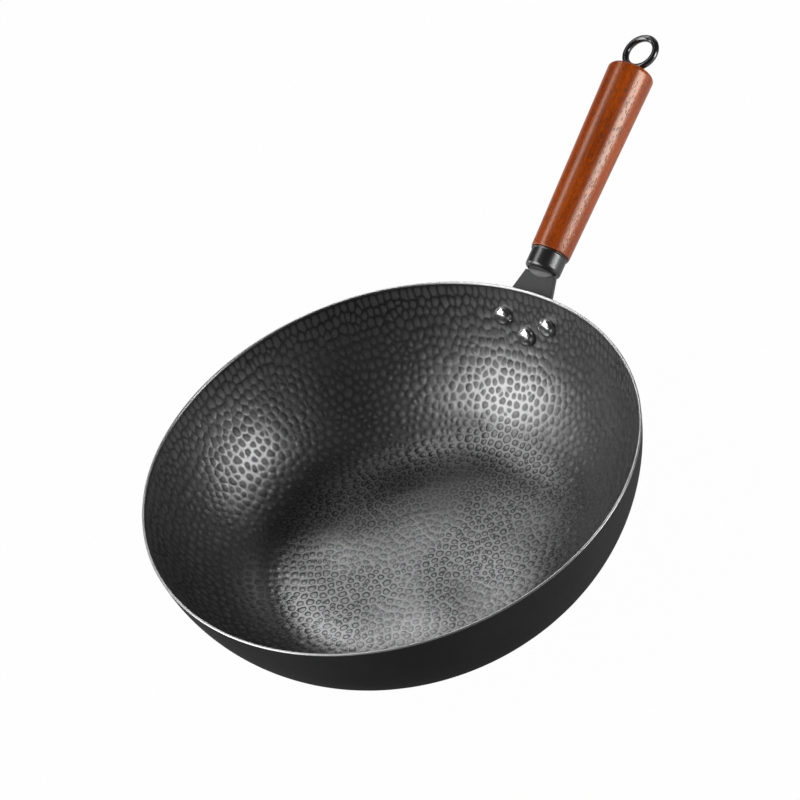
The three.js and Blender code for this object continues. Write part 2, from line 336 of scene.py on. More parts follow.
def hammered_iron(bowl):
    """Iron of the inside. The mark is 0 on the net between the blows and 1 in the middle of each."""
    s = new_material("hammered_iron")
    place = s.place()
    mark = s.node("ShaderNodeAttribute", {"attribute_name": "mark"}, out="Fac")
    side = 4 * mark * (1 - mark)
    pit = s.between(mark, 0.55, 1.0)
    height = s.node("ShaderNodeSeparateXYZ", {}, {0: place}).out("Z")
    up_wall = s.between(height, 3 * MM, 22 * MM)
    by_rim = s.between(height, 60 * MM, 86 * MM)
    cloud = s.noise(place, 22, 4)
    grain = s.noise(place, 2600, 2, 0.6)
    tone = s.shades(cloud, bowl.inside_colour, 0.85, 1.15)
    # Painted shade: the colour itself is darkened in patches on the slopes round the marks, in the pits
    # and, under the rim, on the net, for the shade that these slopes and hollows show. A fine grain of
    # random tone is added to it.
    ring_shade_patches = s.between(s.noise(place, 16, 2), 0.38, 0.62, 0.55, 1.1)
    band = up_wall * (1 - s.between(mark, 0.05, 0.6))
    painted_shade = ring_shade_patches * side * (0.95 - 0.5 * up_wall)
    painted_shade += pit * (0.1 + 0.22 * up_wall - 0.25 * by_rim)
    painted_shade += 0.08 * grain
    painted_shade += (1 - mark) * 0.2 * by_rim
    satin = 0.25 + 0.045 * up_wall + 0.02 * band + 0.17 * pit * up_wall
    return s.surface(
        {
            "Base Color": s.blend(painted_shade, tone, solid(bowl.inside_colour, 0.12)),
            "Metallic": 0.9 + 0.08 * band,
            "Roughness": satin + 0.05 * cloud + 0.04 * grain,
            "Normal": s.bump(grain, 0.02 * MM, 0.5),
        }
    )


def dark_iron(bowl):
    s = new_material("dark_iron_skin")
    place = s.place()
    cloud = s.noise(place, 14, 5, 0.55)
    streak = s.noise(s.stretched(place, (30, 30, 260)), 1, 3)
    grain = s.noise(place, 1900, 2, 0.6)
    tone = s.shades(cloud, bowl.outside_colour, 0.6, 1.5)
    return s.surface(
        {
            "Base Color": s.blend(0.25 * streak, tone, solid(bowl.outside_colour, 2.0)),
            "Metallic": 0.0,
            "Specular IOR Level": 0.005,
            "Roughness": 0.44 + 0.1 * cloud + 0.06 * grain,
            "Normal": s.bump(grain, 0.03 * MM, 0.5),
        }
    )


def ground_rim(bowl):
    s = new_material("ground_rim")
    place = s.place()
    scratch = s.noise(place, 900, 4, 0.65)
    patch = s.noise(place, 60, 3)
    return s.surface(
        {
            "Base Color": s.shades(0.5 * scratch + 0.2 * patch, bowl.rim_colour, 1.0, 0.55),
            "Metallic": 1.0,
            "Roughness": 0.26 + 0.12 * scratch,
            "Normal": s.bump(scratch, 0.01 * MM, 0.3),
        }
    )


def strap_paint(strap):
    s = new_material("strap_paint")
    place = s.place()
    cloud = s.noise(place, 40, 4)
    grain = s.noise(place, 2200, 2, 0.6)
    return s.surface(
        {
            "Base Color": s.shades(cloud, strap.paint, 0.8, 1.2),
            "Metallic": 0.0,
            "Roughness": 0.46 + 0.1 * cloud + 0.06 * grain,
            "Normal": s.bump(grain, 0.03 * MM, 0.5),
        }
    )


def weld_with_painted_light(strap):
    s = new_material("weld_paint_painted_light")
    # Painted light: the weld wears the strap's paint lifted 1.7 to 2.5 times, a painted lightening for the
    # light it catches. Its ripples vary that lift.
    ripple = s.noise(s.place(), 700, 3, 0.6)
    return s.surface(
        {
            "Base Color": s.shades(ripple, strap.paint, 1.7, 2.5),
            "Metallic": 0.0,
            "Roughness": 0.38 + 0.16 * ripple,
            "Normal": s.bump(ripple, 0.12 * MM, 0.6),
        }
    )


def polished_steel(rivets):
    s = new_material("polished_steel")
    place = s.place()
    smear = s.noise(place, 260, 4, 0.6)
    fine = s.noise(place, 3000, 2)
    return s.surface(
        {
            "Base Color": s.shades(smear, rivets.metal, 0.9, 1.0),
            "Metallic": 1.0,
            "Roughness": 0.2 + 0.03 * smear,
            "Normal": s.bump(fine, 0.004 * MM, 0.08),
        }
    )


def black_enamel(name, shade, satin):
    s = new_material(name)
    place = s.place()
    orange_peel = s.noise(place, 420, 2, 0.4)
    cloud = s.noise(place, 70, 3)
    return s.surface(
        {
            "Base Color": s.shades(cloud, shade, 0.8, 1.25),
            "Metallic": 0.0,
            "Specular IOR Level": 1.0,
            "IOR": 1.6,
            "Roughness": satin + 0.07 * cloud,
            "Normal": s.bump(orange_peel, 0.02 * MM, 0.2),
        }
    )


def plug_metal(ferrule):
    s = new_material("plug_steel")
    turned_lines = s.noise(s.place(), 900, 3, 0.6)
    return s.surface(
        {
            "Base Color": s.shades(turned_lines, ferrule.plug_steel, 0.75, 1.25),
            "Metallic": 0.0,
            "Roughness": 0.42 + 0.15 * turned_lines,
            "Normal": s.bump(turned_lines, 0.05 * MM, 0.5),
        }
    )


def lacquered_wood(grip):
    s = new_material("lacquered_wood")
    place = s.node("ShaderNodeAttribute", {"attribute_name": "turned_place"}, out="Vector")
    blotch = s.noise(s.stretched(place, (150, 150, 18)), 1, 4, 0.6)
    fleck = s.noise(s.stretched(place, (1200, 1200, 360)), 1, 3, 0.6)
    fibre = s.noise(s.stretched(place, (1900, 1900, 60)), 1, 2)
    grain = s.between(0.4 * blotch + 0.45 * fleck + 0.2 * fibre, 0.32, 0.74)
    wood = s.blend(grain, solid(grip.dark_wood), solid(grip.light_wood))
    pore_cells = s.node(
        "ShaderNodeTexVoronoi",
        {"feature": "F1"},
        {"Vector": s.stretched(place, (950, 950, 230)), "Scale": 1.0, "Randomness": 1.0},
    )
    crowd = s.between(s.noise(s.stretched(place, (260, 260, 9)), 1, 3), 0.47, 0.57)
    pore = s.between(pore_cells, 0.4, 0.24) * crowd
    return s.surface(
        {
            "Base Color": s.blend(pore * 0.85, wood, solid(grip.pore)),
            "Metallic": 0.0,
            "Specular IOR Level": 1.0,
            "Specular Tint": solid(grip.lacquer),
            "Roughness": 0.25 + 0.2 * pore + 0.06 * fibre,
            "Normal": s.bump(fibre * 0.1 - pore, 0.05 * MM, 0.5),
        }
    )


# Meshes


def new_piece(name, vertices, faces, materials, body="wok", place=None):
    """A smooth piece on its body, moved to its place where one is given."""
    if place is not None:
        vertices = [place @ v for v in vertices]
    mesh = bpy.data.meshes.new(name)
    mesh.from_pydata([tuple(v) for v in vertices], [], [tuple(f) for f in faces])
    mesh.validate()
    for material in materials:
        mesh.materials.append(material)
    mesh.shade_smooth()
    mesh.update()
    piece = bpy.data.objects.new(name, mesh)
    bpy.context.scene.collection.objects.link(piece)
    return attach(piece, body)


def finished(piece, slot, *nodes, sharp=None):
    """Hides the nodes that a piece replaces and sets the angle from which its edges are sharp; the slot is
    not used.
    """
    if sharp is not None:
        piece.data.set_sharp_from_angle(angle=math.radians(sharp))
    if nodes:
        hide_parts(*nodes)


def handle_frame():
    """Axes of the handle: X up from it, Z along it, from the middle of the ferrule's mouth."""
    up = Vector((-HANDLE_ALONG.z, 0, HANDLE_ALONG.x))
    side = HANDLE_ALONG.cross(up)
    turn = Matrix((up, side, HANDLE_ALONG)).transposed()
    return Matrix.Translation(HANDLE_MOUTH) @ turn.to_4x4()


# Hold of an eased corner in easings, and the share of a run that it may take
HOLD, HOLD_ROOM = 1.6, 0.45


def eased(profile, steps=4):
    """Profile of radius, length and easing, with each corner rounded and held close to its neighbours."""
    points = []
    last = len(profile) - 1
    for i, (r, y, ease) in enumerate(profile):
        corner = Vector((r, y))
        if ease == 0:
            points.append(corner)
            continue
        before = Vector(profile[i - 1][:2]) if i > 0 else Vector(profile[last - 1][:2])
        after = Vector(profile[i + 1][:2]) if i < last else Vector(profile[1][:2])
        back = (before - corner).normalized()
        on = (after - corner).normalized()
        hold = HOLD * ease
        if hold < HOLD_ROOM * (before - corner).length:
            points.append(corner + back * hold)
        for k in range(steps + 1):
            t = k / steps
            points.append(corner + back * ease * (1 - t) ** 2 + on * ease * t ** 2)
        if hold < HOLD_ROOM * (after - corner).length:
            points.append(corner + on * hold)
    return [(p.x, p.y) for p in points]


def turned(profile, sides, closed=False):
    """Turned shape about Z from radius and length pairs, outside on the right of the way they run."""
    vertices = []
    rings = []
    for r, y in profile:
        count = 1 if r < 1e-7 else sides
        first = len(vertices)
        for k in range(count):
            at = FULL_TURN * k / sides
            vertices.append(Vector((r * math.cos(at), r * math.sin(at), y)))
        rings.append([first + k % count for k in range(sides)])
    if closed:
        rings.append(rings[0])
    faces = []
    for low, high in zip(rings, rings[1:]):
        for k in range(sides):
            n = (k + 1) % sides
            face = [low[k], low[n], high[n], high[k]]
            face = [v for i, v in enumerate(face) if v not in face[:i]]
            if len(face) > 2:
                faces.append(face)
    return vertices, faces


def arc(r, y, radius, start, stop, steps):
    """Points of an arc as radius and length pairs, angles from the radius towards the length."""
    angles = [math.radians(start + (stop - start) * k / steps) for k in range(steps + 1)]
    return [(r + radius * math.cos(a), y + radius * math.sin(a)) for a in angles]


class Wall:
    """Section of the bowl: one curve from the rim down to the edge of the flat base."""

    def __init__(self, bowl):
        self.thickness = bowl.wall
        run = bowl.rim_pull * bowl.depth
        flare = bowl.rim_radius - bowl.base_radius
        lean_in, lean_down = run * math.sin(bowl.rim_lean), run * math.cos(bowl.rim_lean)
        self.guide = np.array(
            [
                (bowl.rim_radius, bowl.depth),
                (bowl.rim_radius - lean_in, bowl.depth - lean_down),
                (bowl.base_radius + bowl.base_pull * flare, 0.0),
                (bowl.base_radius, 0.0),
            ]
        )

    def at(self, t, out=0.0):
        """Radius, height and lean at a share of the curve, moved out from the wall."""
        a, b, c, d = self.guide
        u = 1 - t
        point = u ** 3 * a + 3 * u * u * t * b + 3 * u * t * t * c + t ** 3 * d
        way = u * u * (b - a) + 2 * u * t * (c - b) + t * t * (d - c)
        lean = math.atan2(-way[0], -way[1])
        return point[0] + out * math.cos(lean), point[1] - out * math.sin(lean), lean

    def at_height(self, z, out=0.0):
        low, high = 0.0, 1.0
        for _ in range(50):
            middle = (low + high) / 2
            if self.at(middle)[1] > z:
                low = middle
            else:
                high = middle
        return self.at(low, out)

    def place(self, z, turn):
        """Frame on the inside of the wall with Z pointing into the bowl."""
        x, height, lean = self.at_height(z, -self.thickness)
        inward = Vector((-math.cos(lean), 0, math.sin(lean)))
        side = Vector((0, 1, 0))
        stand = Matrix((side.cross(inward), side, inward)).transposed().to_4x4()
        return Matrix.Rotation(turn, 4, "Z") @ Matrix.Translation((x, 0, height)) @ stand


# Bowl


# How the blows land, as shares of the distance between neighbouring marks
RING_STEP = 0.87
STRAY = 0.3
TWIN_APART = (0.24, 0.32)
ROOM_BY_RIM, TWIN_ROOM_BY_RIM = 0.34, 0.3
MIRRORED_BY_RIM = 2.6
CORNERS_MEET = 0.14
LONG_RUN = 0.36

# Where the base's pitch starts to give way to the wall's and how long that takes, in radii of the base
WALL_FROM, WALL_RUN = 0.8, 0.6

# Share of the blows that land twice, and how much fewer they are up the wall
TWIN_BLOWS, FEWER_TWINS = 0.26, 0.12

# Share of the net's width that is left beside the line between twin blows and on it
BESIDE_TWIN_LINE, ON_TWIN_LINE = 0.8, 0.3

# Height of the net, how much that varies, and the height of the line between twin blows, in mark depths
NET_HEIGHT, NET_HEIGHTS, TWIN_LINE_HEIGHT = 0.14, (0.4, 1.3), -0.45

# How much the width of the net, the slopes and the depths vary from mark to mark
NET_WIDTHS, SLOPE_WIDTHS, DEPTHS, MIDDLE_DEPTHS = (0.7, 1.3), (0.8, 1.25), (0.55, 1.2), (0.82, 1.02)

# Bounds of a mark's upper edge in shares of its reach and of its own mean, and rounds of smoothing it
LEAST_TOP, MOST_TOP, TOP_OVER_MEAN, TOP_ROUNDS = 0.45, 0.9, 1.12, 3

# Millimetres that a slope is wide on the base, how much less at the rim, and the least foot it leaves
SLOPE_WIDTH, LESS_BY_RIM, LEAST_FOOT = 0.8, 0.43, 0.42

# Share of a full mark's depth on the base, the share of weak blows with their depth, and the most tilt
BASE_DEPTH, WEAK_BLOWS, WEAK_DEPTH, MOST_TILT = 0.6, 0.1, 0.4, 0.03

# Columns of the hammered relief
X, Y, HEIGHT, MARK, TO_X, TO_Y, STEEP = range(7)

# Mark at the edge of the net, on the line between twin blows and at the foot of a slope
NET_EDGE, TWIN_LINE, SLOPE_FOOT = 0.12, 0.45, 0.92

# Broad waves of the sheet: how many, the millimetres from crest to crest, and the share of the way
# out over which they fade
WAVES, WAVE_SPANS, WAVE_FADE = 6, (40, 80), 0.25

# Finishes of the bowl, in the order of its materials
HAMMERED, GROUND, SKIN = range(3)


def mark_seeds(limit, bowl, chance):
    """Middles of the hammer marks in loose rings, each with its blow, as some blows land twice."""
    seeds = []
    ring = limit - 0.5 * bowl.mark_pitch
    while ring > 0:
        up_wall = min(max((ring / bowl.base_radius - WALL_FROM) / WALL_RUN, 0.0), 1.0)
        pitch = bowl.base_pitch + (bowl.mark_pitch - bowl.base_pitch) * up_wall
        count = max(1, round(FULL_TURN * ring / pitch))
        start = chance.uniform(0, FULL_TURN)
        for k in range(count):
            turn = start + FULL_TURN * (k + chance.uniform(-STRAY, STRAY)) / count
            out = min(ring + chance.uniform(-STRAY, STRAY) * pitch, limit - ROOM_BY_RIM * pitch)
            spots = [(out * math.cos(turn), out * math.sin(turn))]
            if chance.random() < TWIN_BLOWS - FEWER_TWINS * up_wall:
                way = chance.uniform(0, FULL_TURN)
                apart = chance.uniform(*TWIN_APART) * pitch
                shift = (apart * math.cos(way), apart * math.sin(way))
                x, y = spots[0]
                spots = [(x - shift[0], y - shift[1]), (x + shift[0], y + shift[1])]
            blow = len(seeds)
            for spot in spots:
                if math.hypot(*spot) < limit - TWIN_ROOM_BY_RIM * pitch:
                    seeds.append((*spot, blow))
        ring -= RING_STEP * pitch
    return seeds


def cell_corners(spots, triangles):
    """Where three marks meet: the middle of the circle through each three of them."""
    a, b, c = (spots[triangles[:, k]] for k in range(3))
    b, c = b - a, c - a
    size = 2 * (b[:, 0] * c[:, 1] - b[:, 1] * c[:, 0])
    bb, cc = (b ** 2).sum(1), (c ** 2).sum(1)
    x = (c[:, 1] * bb - b[:, 1] * cc) / size
    y = (b[:, 0] * cc - c[:, 0] * bb) / size
    return a + np.stack([x, y], axis=1)


def nearly_met(corners, triangles, near):
    """For each corner, the one that stands for it and for the corners it almost meets."""
    owner = list(range(len(triangles)))

    def first(k):
        while owner[k] != k:
            k = owner[k]
        return k

    shared = {}
    for k, triangle in enumerate(triangles):
        for i in range(3):
            pair = tuple(sorted((triangle[i], triangle[i - 1])))
            if pair not in shared:
                shared[pair] = k
            elif np.hypot(*(corners[k] - corners[shared[pair]])) < near:
                owner[first(k)] = first(shared[pair])
    return [first(k) for k in range(len(owner))]


def mark_outlines(limit, bowl, chance):
    """Corner points of the net between the marks, which of them lie on its outer edge, and each mark's
    corners in order, each with whether the run on to the next one parts two marks of one blow."""
    seeds = mark_seeds(limit, bowl, chance)
    blows = [blow for _, _, blow in seeds]
    mirrored = []
    for x, y, _ in seeds:
        reach = math.hypot(x, y)
        if reach > limit - MIRRORED_BY_RIM * bowl.mark_pitch:
            out = (2 * limit - reach) / reach
            mirrored.append((x * out, y * out))
    middles = [Vector(p[:2]) for p in seeds + mirrored]
    spots, _, triangles = delaunay_2d_cdt(middles, [], [], 0, 1e-9)[:3]
    spots = np.array([tuple(p) for p in spots])
    triangles = np.array(triangles)
    within = np.hypot(spots[:, 0], spots[:, 1]) < limit
    corners = cell_corners(spots, triangles)
    owner = nearly_met(corners, triangles, CORNERS_MEET * bowl.mark_pitch)

    # Corners that almost meet become one, and those of the outermost marks go to the edge
    total = np.zeros_like(corners)
    number = np.zeros(len(owner))
    edge = np.zeros(len(owner), bool)
    for k, own in enumerate(owner):
        total[own] += corners[k]
        number[own] += 1
        inside = within[triangles[k]]
        edge[own] |= inside.any() and not inside.all()
    number[number == 0] = 1
    corners = total / number[:, None]
    reach = np.hypot(corners[:, 0], corners[:, 1])
    corners[edge] *= (limit / reach[edge])[:, None]

    around = {}
    for k, triangle in enumerate(triangles):
        for v in triangle:
            around.setdefault(int(v), []).append(k)
    marks = []
    for v, touching in around.items():
        if not within[v]:
            continue
        touching.sort(key=lambda k: math.atan2(*(spots[triangles[k]].mean(0) - spots[v])[::-1]))
        loop = []
        for k, after in zip(touching, touching[1:] + touching[:1]):
            if owner[k] == owner[after]:
                continue
            beside = set(triangles[k]) & set(triangles[after]) - {v}
            one_blow = any(u < len(blows) and blows[u] == blows[v] for u in beside)
            loop.append((owner[k], one_blow))
        if len(loop) > 2:
            marks.append(loop)
    return corners, edge, marks


class Relief:
    """The hammered net, laid out flat. Each row has a point's place in the pattern, its height over the
    wall and its mark, then the place that the surface leans to and how steeply."""

    def __init__(self, limit, bowl, chance):
        self.limit = limit
        self.bowl = bowl
        self.chance = chance
        self.rows = []
        self.faces = []
        self.knots = {}
        self.border = set()

    def point(self, spot, height, mark, towards=(0.0, 0.0), steep=0.0):
        self.rows.append((spot[0], spot[1], height, mark, *towards, steep))
        return len(self.rows) - 1

    def knot(self, key, spot, on_edge, low=False):
        """A point of the net that its marks share, low where it parts two marks of one blow."""
        if key not in self.knots:
            depth = self.bowl.mark_depth
            if low:
                self.knots[key] = self.point(spot, TWIN_LINE_HEIGHT * depth, TWIN_LINE)
            else:
                height = NET_HEIGHT * depth * self.chance.uniform(*NET_HEIGHTS)
                self.knots[key] = self.point(spot, height, 0.0)
            if on_edge:
                self.border.add(self.knots[key])
        return self.knots[key]

    def ring(self, loop, corners, edge):
        """Points of the net round one mark, and how much of the net's width each of them keeps."""
        ring = []
        share = []
        for i, (k, one_blow) in enumerate(loop):
            n = loop[(i + 1) % len(loop)][0]
            ring.append(self.knot(k, corners[k], edge[k]))
            share.append(BESIDE_TWIN_LINE if one_blow or loop[i - 1][1] else 1.0)
            gap = corners[n] - corners[k]
            if one_blow or np.hypot(*gap) > LONG_RUN * self.bowl.mark_pitch:
                middle = (corners[n] + corners[k]) / 2
                on_edge = edge[k] and edge[n]
                if on_edge:
                    middle *= self.limit / np.hypot(*middle)
                ring.append(self.knot((min(k, n), max(k, n)), middle, on_edge, one_blow))
                share.append(ON_TWIN_LINE if one_blow else 1.0)
        return ring, share

    def strike(self, ring, share):
        """One mark in its ring of the net: a rounded edge, a slope and a nearly flat middle."""
        bowl, chance = self.bowl, self.chance
        spots = np.array([self.rows[k][:2] for k in ring])
        centre = spots.mean(0)
        reach = np.hypot(*(spots - centre).T)
        way = (spots - centre) / reach[:, None]
        up_wall = (np.hypot(*centre) - bowl.base_radius) / (self.limit - bowl.base_radius)
        up_wall = min(max(up_wall, 0.0), 1.0)

        # Net edge, drawn in and rounded, then the foot of the slope
        net = bowl.net_width + (bowl.rim_net_width - bowl.net_width) * up_wall ** 2
        width = net / 2 * chance.uniform(*NET_WIDTHS)
        top = np.maximum(reach - width * np.array(share), LEAST_TOP * reach)
        top = np.minimum(top, TOP_OVER_MEAN * top.mean())
        for _ in range(TOP_ROUNDS):
            top = 0.5 * top + 0.25 * (np.roll(top, 1) + np.roll(top, -1))
        top = np.minimum(top, MOST_TOP * reach)
        slope = (SLOPE_WIDTH - LESS_BY_RIM * up_wall) * MM * chance.uniform(*SLOPE_WIDTHS)
        foot = np.maximum(top - slope, LEAST_FOOT * top)

        # Some blows are weak, and none lies quite level
        depth = bowl.mark_depth * (BASE_DEPTH + (1 - BASE_DEPTH) * up_wall) * chance.uniform(*DEPTHS)
        if chance.random() < WEAK_BLOWS:
            depth *= WEAK_DEPTH
        tilt_way = chance.uniform(0, FULL_TURN)
        tilt = MOST_TILT * chance.uniform(0, 1)
        lean = tilt * (way @ np.array((math.cos(tilt_way), math.sin(tilt_way)))) * foot
        steep = depth / slope
        hollow = min(3 * up_wall, 1.0) * (1 - up_wall ** 3)
        foot_steep = steep * (0.1 + 0.6 * hollow)
        upper = []
        lower = []
        for i in range(len(ring)):
            upper.append(self.point(centre + way[i] * top[i], 0.0, NET_EDGE, centre, 0.3 * steep))
            spot = centre + way[i] * foot[i]
            lower.append(self.point(spot, -depth + lean[i], SLOPE_FOOT, centre, foot_steep))
        middle = self.point(centre, -depth * chance.uniform(*MIDDLE_DEPTHS), 1.0)
        for i in range(len(ring)):
            n = (i + 1) % len(ring)
            self.faces.append((ring[i], ring[n], upper[n], upper[i]))
            self.faces.append((upper[i], upper[n], lower[n], lower[i]))
            self.faces.append((lower[i], lower[n], middle))


def struck_net(limit, bowl, chance):
    """The whole hammered net, laid out flat."""
    corners, edge, marks = mark_outlines(limit, bowl, chance)
    relief = Relief(limit, bowl, chance)
    for loop in marks:
        relief.strike(*relief.ring(loop, corners, edge))
    return relief


class InsideSection:
    """Section of the bowl's inside from the middle of the base out to the rim, by its own length."""

    def __init__(self, bowl, wall):
        section = [wall.at(t, -bowl.wall) for t in np.linspace(1, 0, 400)]
        radius = np.array([0.0] + [p[0] for p in section])
        height = np.array([bowl.wall] + [p[1] for p in section])
        lean = np.array([math.pi / 2] + [p[2] for p in section])
        self.radius, self.height, self.lean = self.dished(bowl, radius, height, lean)
        steps = np.hypot(np.diff(self.radius), np.diff(self.height))
        self.run = np.concatenate([[0], np.cumsum(steps)])
        self.rim_run = np.interp(bowl.depth, self.height[1:], self.run[1:])

        # Marks grow taller up the wall, so the pattern is measured shorter there
        beyond = np.maximum(self.run - bowl.base_radius, 0)
        shorter = bowl.mark_stretch * beyond ** 2 / (2 * (self.rim_run - bowl.base_radius))
        self.pattern = self.run - shorter
        self.limit = np.interp(self.rim_run - bowl.plain_band, self.run, self.pattern)

    def dished(self, bowl, radius, height, lean):
        """The section with the base beaten a little hollow, its slope growing on into the wall."""
        meet = int(np.argmax(radius > bowl.hollow_reach))
        reach = radius[meet]
        steep = 1 / math.tan(lean[meet]) - bowl.hollow_slope
        floor = bowl.wall - bowl.hollow
        power = steep * reach / (height[meet] - floor - bowl.hollow_slope * reach / 2) - 1
        r = np.linspace(0, reach, 90)[:-1]
        share = r / reach
        z = floor + r * (bowl.hollow_slope * share / 2 + steep * share ** power / (power + 1))
        slope = bowl.hollow_slope * share + steep * share ** power
        return (
            np.concatenate([r, radius[meet:]]),
            np.concatenate([z, height[meet:]]),
            np.concatenate([math.pi / 2 - np.arctan(slope), lean[meet:]]),
        )

    def point(self, run):
        """Radius and height at a length along the section."""
        return float(np.interp(run, self.run, self.radius)), float(np.interp(run, self.run, self.height))

    def bent(self, x, y, lift=0.0):
        """Where places of the flat pattern lie on the wall, with their turns round the axis and tilts."""
        along = np.interp(np.hypot(x, y), self.pattern, self.run)
        turn = np.arctan2(y, x)
        tilt = np.interp(along, self.run, self.lean)
        r = np.interp(along, self.run, self.radius) - lift * np.cos(tilt)
        z = np.interp(along, self.run, self.height) + lift * np.sin(tilt)
        return np.stack([r * np.cos(turn), r * np.sin(turn), z], axis=1), turn, tilt


def between_loops(inner, outer, inner_turn, outer_turn):
    """Triangles between two loops round one axis, each in order of angle."""
    faces = []
    i = j = 0
    while i < len(inner) or j < len(outer):
        next_inner = inner_turn[(i + 1) % len(inner)] + FULL_TURN * ((i + 1) // len(inner))
        next_outer = outer_turn[(j + 1) % len(outer)] + FULL_TURN * ((j + 1) // len(outer))
        a, b = inner[i % len(inner)], outer[j % len(outer)]
        if j >= len(outer) or (i < len(inner) and next_inner < next_outer):
            faces.append((a, b, inner[(i + 1) % len(inner)]))
            i += 1
        else:
            faces.append((a, b, outer[(j + 1) % len(outer)]))
            j += 1
    return faces


class WOK_OT_bowl(Operator):
    """Make the hammered bowl with its ground rim"""

    bl_idname = "wok.bowl"
    bl_label = "Hammered bowl"

    def execute(self, context):
        bowl = context.scene.wok_bowl
        wall = Wall(bowl)
        inside = InsideSection(bowl, wall)
        relief = struck_net(inside.limit, bowl, random.Random(bowl.mark_seed))
        rows = np.array(relief.rows)
        swell, rise, twist = self.waves(bowl, rows, inside.limit)
        places, turn, tilt = inside.bent(rows[:, X], rows[:, Y], rows[:, HEIGHT] + swell)
        leaning_to = inside.bent(rows[:, TO_X], rows[:, TO_Y])[0] - places
        facing = self.facing(turn, tilt, rise, twist, leaning_to, rows[:, STEEP, None])
        vertices = places.tolist()
        faces = list(relief.faces)

        # The rest is turned about the bowl's axis and stitched to the edge of the net
        profile = self.shell(bowl, wall, inside)
        sides = 240
        turns = [FULL_TURN * k / sides for k in range(sides)]
        rings = []
        for r, z, _ in profile:
            rings.append(range(len(vertices), len(vertices) + sides))
            vertices += [(r * math.cos(a), r * math.sin(a), z) for a in turns]
        edge = sorted(relief.border, key=lambda k: turn[k] % FULL_TURN)
        faces += between_loops(edge, list(rings[0]), [turn[k] % FULL_TURN for k in edge], turns)
        finish = [HAMMERED] * len(faces)
        for low, high, (_, _, skin) in zip(rings, rings[1:], profile[1:]):
            for k in range(sides):
                n = (k + 1) % sides
                faces.append((low[k], high[k], high[n], low[n]))
            finish += [skin] * sides
        foot = len(vertices)
        vertices.append((0, 0, 0))
        faces += [(rings[-1][k], foot, rings[-1][(k + 1) % sides]) for k in range(sides)]
        finish += [SKIN] * sides

        skins = [hammered_iron(bowl), ground_rim(bowl), dark_iron(bowl)]
        piece = new_piece("bowl_hammered", vertices, faces, skins)
        mesh = piece.data
        mesh.polygons.foreach_set("material_index", finish)
        plain = len(vertices) - len(rows)
        mark = mesh.attributes.new("mark", "FLOAT", "POINT")
        mark.data.foreach_set("value", rows[:, MARK].tolist() + [0.0] * plain)
        mesh.normals_split_custom_set_from_vertices(facing.tolist() + [(0.0, 0.0, 0.0)] * plain)
        finished(piece, "iron", "wok_bowl")
        return {"FINISHED"}

    def waves(self, bowl, rows, limit):
        """Height of the broad waves, which are level at the rim, and their slopes out and round."""
        chance = random.Random(bowl.wave_seed)
        x, y = rows[:, X], rows[:, Y]
        reach = np.maximum(np.hypot(x, y), 1e-9)
        fade = bowl.unevenness * np.clip((limit - reach) / (WAVE_FADE * limit), 0, 1)
        swell = np.zeros(len(rows))
        steep = np.zeros((len(rows), 2))
        for _ in range(WAVES):
            way = chance.uniform(0, FULL_TURN)
            span = chance.uniform(*WAVE_SPANS) * MM
            start = chance.uniform(0, FULL_TURN)
            step = FULL_TURN / span * np.array((math.cos(way), math.sin(way)))
            phase = rows[:, :2] @ step + start
            swell += np.sin(phase)
            steep += np.cos(phase)[:, None] * step
        steep *= fade[:, None]
        rise = (steep[:, 0] * x + steep[:, 1] * y) / reach
        twist = (steep[:, 1] * x - steep[:, 0] * y) / reach
        return swell * fade, rise, twist

    def facing(self, turn, tilt, rise, twist, leaning_to, steep):
        """Which way each point faces. The net and the middles of the marks lie flat on the waves, and
        only the sides of the marks lean."""
        upward, level = np.sin(tilt), np.cos(tilt)
        out_x, out_y = np.cos(turn), np.sin(turn)
        facing = np.stack([-level * out_x, -level * out_y, upward], axis=1)
        outward = np.stack([upward * out_x, upward * out_y, level], axis=1)
        around = np.stack([-out_y, out_x, np.zeros(len(turn))], axis=1)
        facing -= outward * rise[:, None] + around * twist[:, None]
        way = leaning_to - facing * (leaning_to * facing).sum(1, keepdims=True)
        way /= np.maximum(np.linalg.norm(way, axis=1, keepdims=True), 1e-9)
        facing += way * steep
        return facing / np.linalg.norm(facing, axis=1, keepdims=True)

    def shell(self, bowl, wall, inside):
        """Plain band, ground rim, outside and base, as radius, height and finish."""
        ease = 0.5 * MM
        band = inside.point(inside.rim_run - 0.5 * bowl.plain_band)
        brow = inside.point(inside.rim_run)[0]
        outer = bowl.rim_radius - 0.01 * MM
        bend = [(math.sin(a), math.cos(a)) for a in np.radians([0, 18, 36, 54, 72, 90])]
        profile = [(*band, HAMMERED), (brow, bowl.depth - 1.3 * ease, HAMMERED)]
        profile += [(brow + ease * (1 - c), bowl.depth - ease * (1 - s), GROUND) for s, c in bend]
        profile += [(outer - ease * (1 - s), bowl.depth - ease * (1 - c), GROUND) for s, c in bend]
        for t in np.linspace(0, 1, 33)[1:]:
            r, z, _ = wall.at(float(t * t * 0.25 + t * 0.75))
            profile.append((r, z, SKIN))
        return profile + [(share * bowl.base_radius, 0.0, SKIN) for share in (0.7, 0.35)]


# Strap


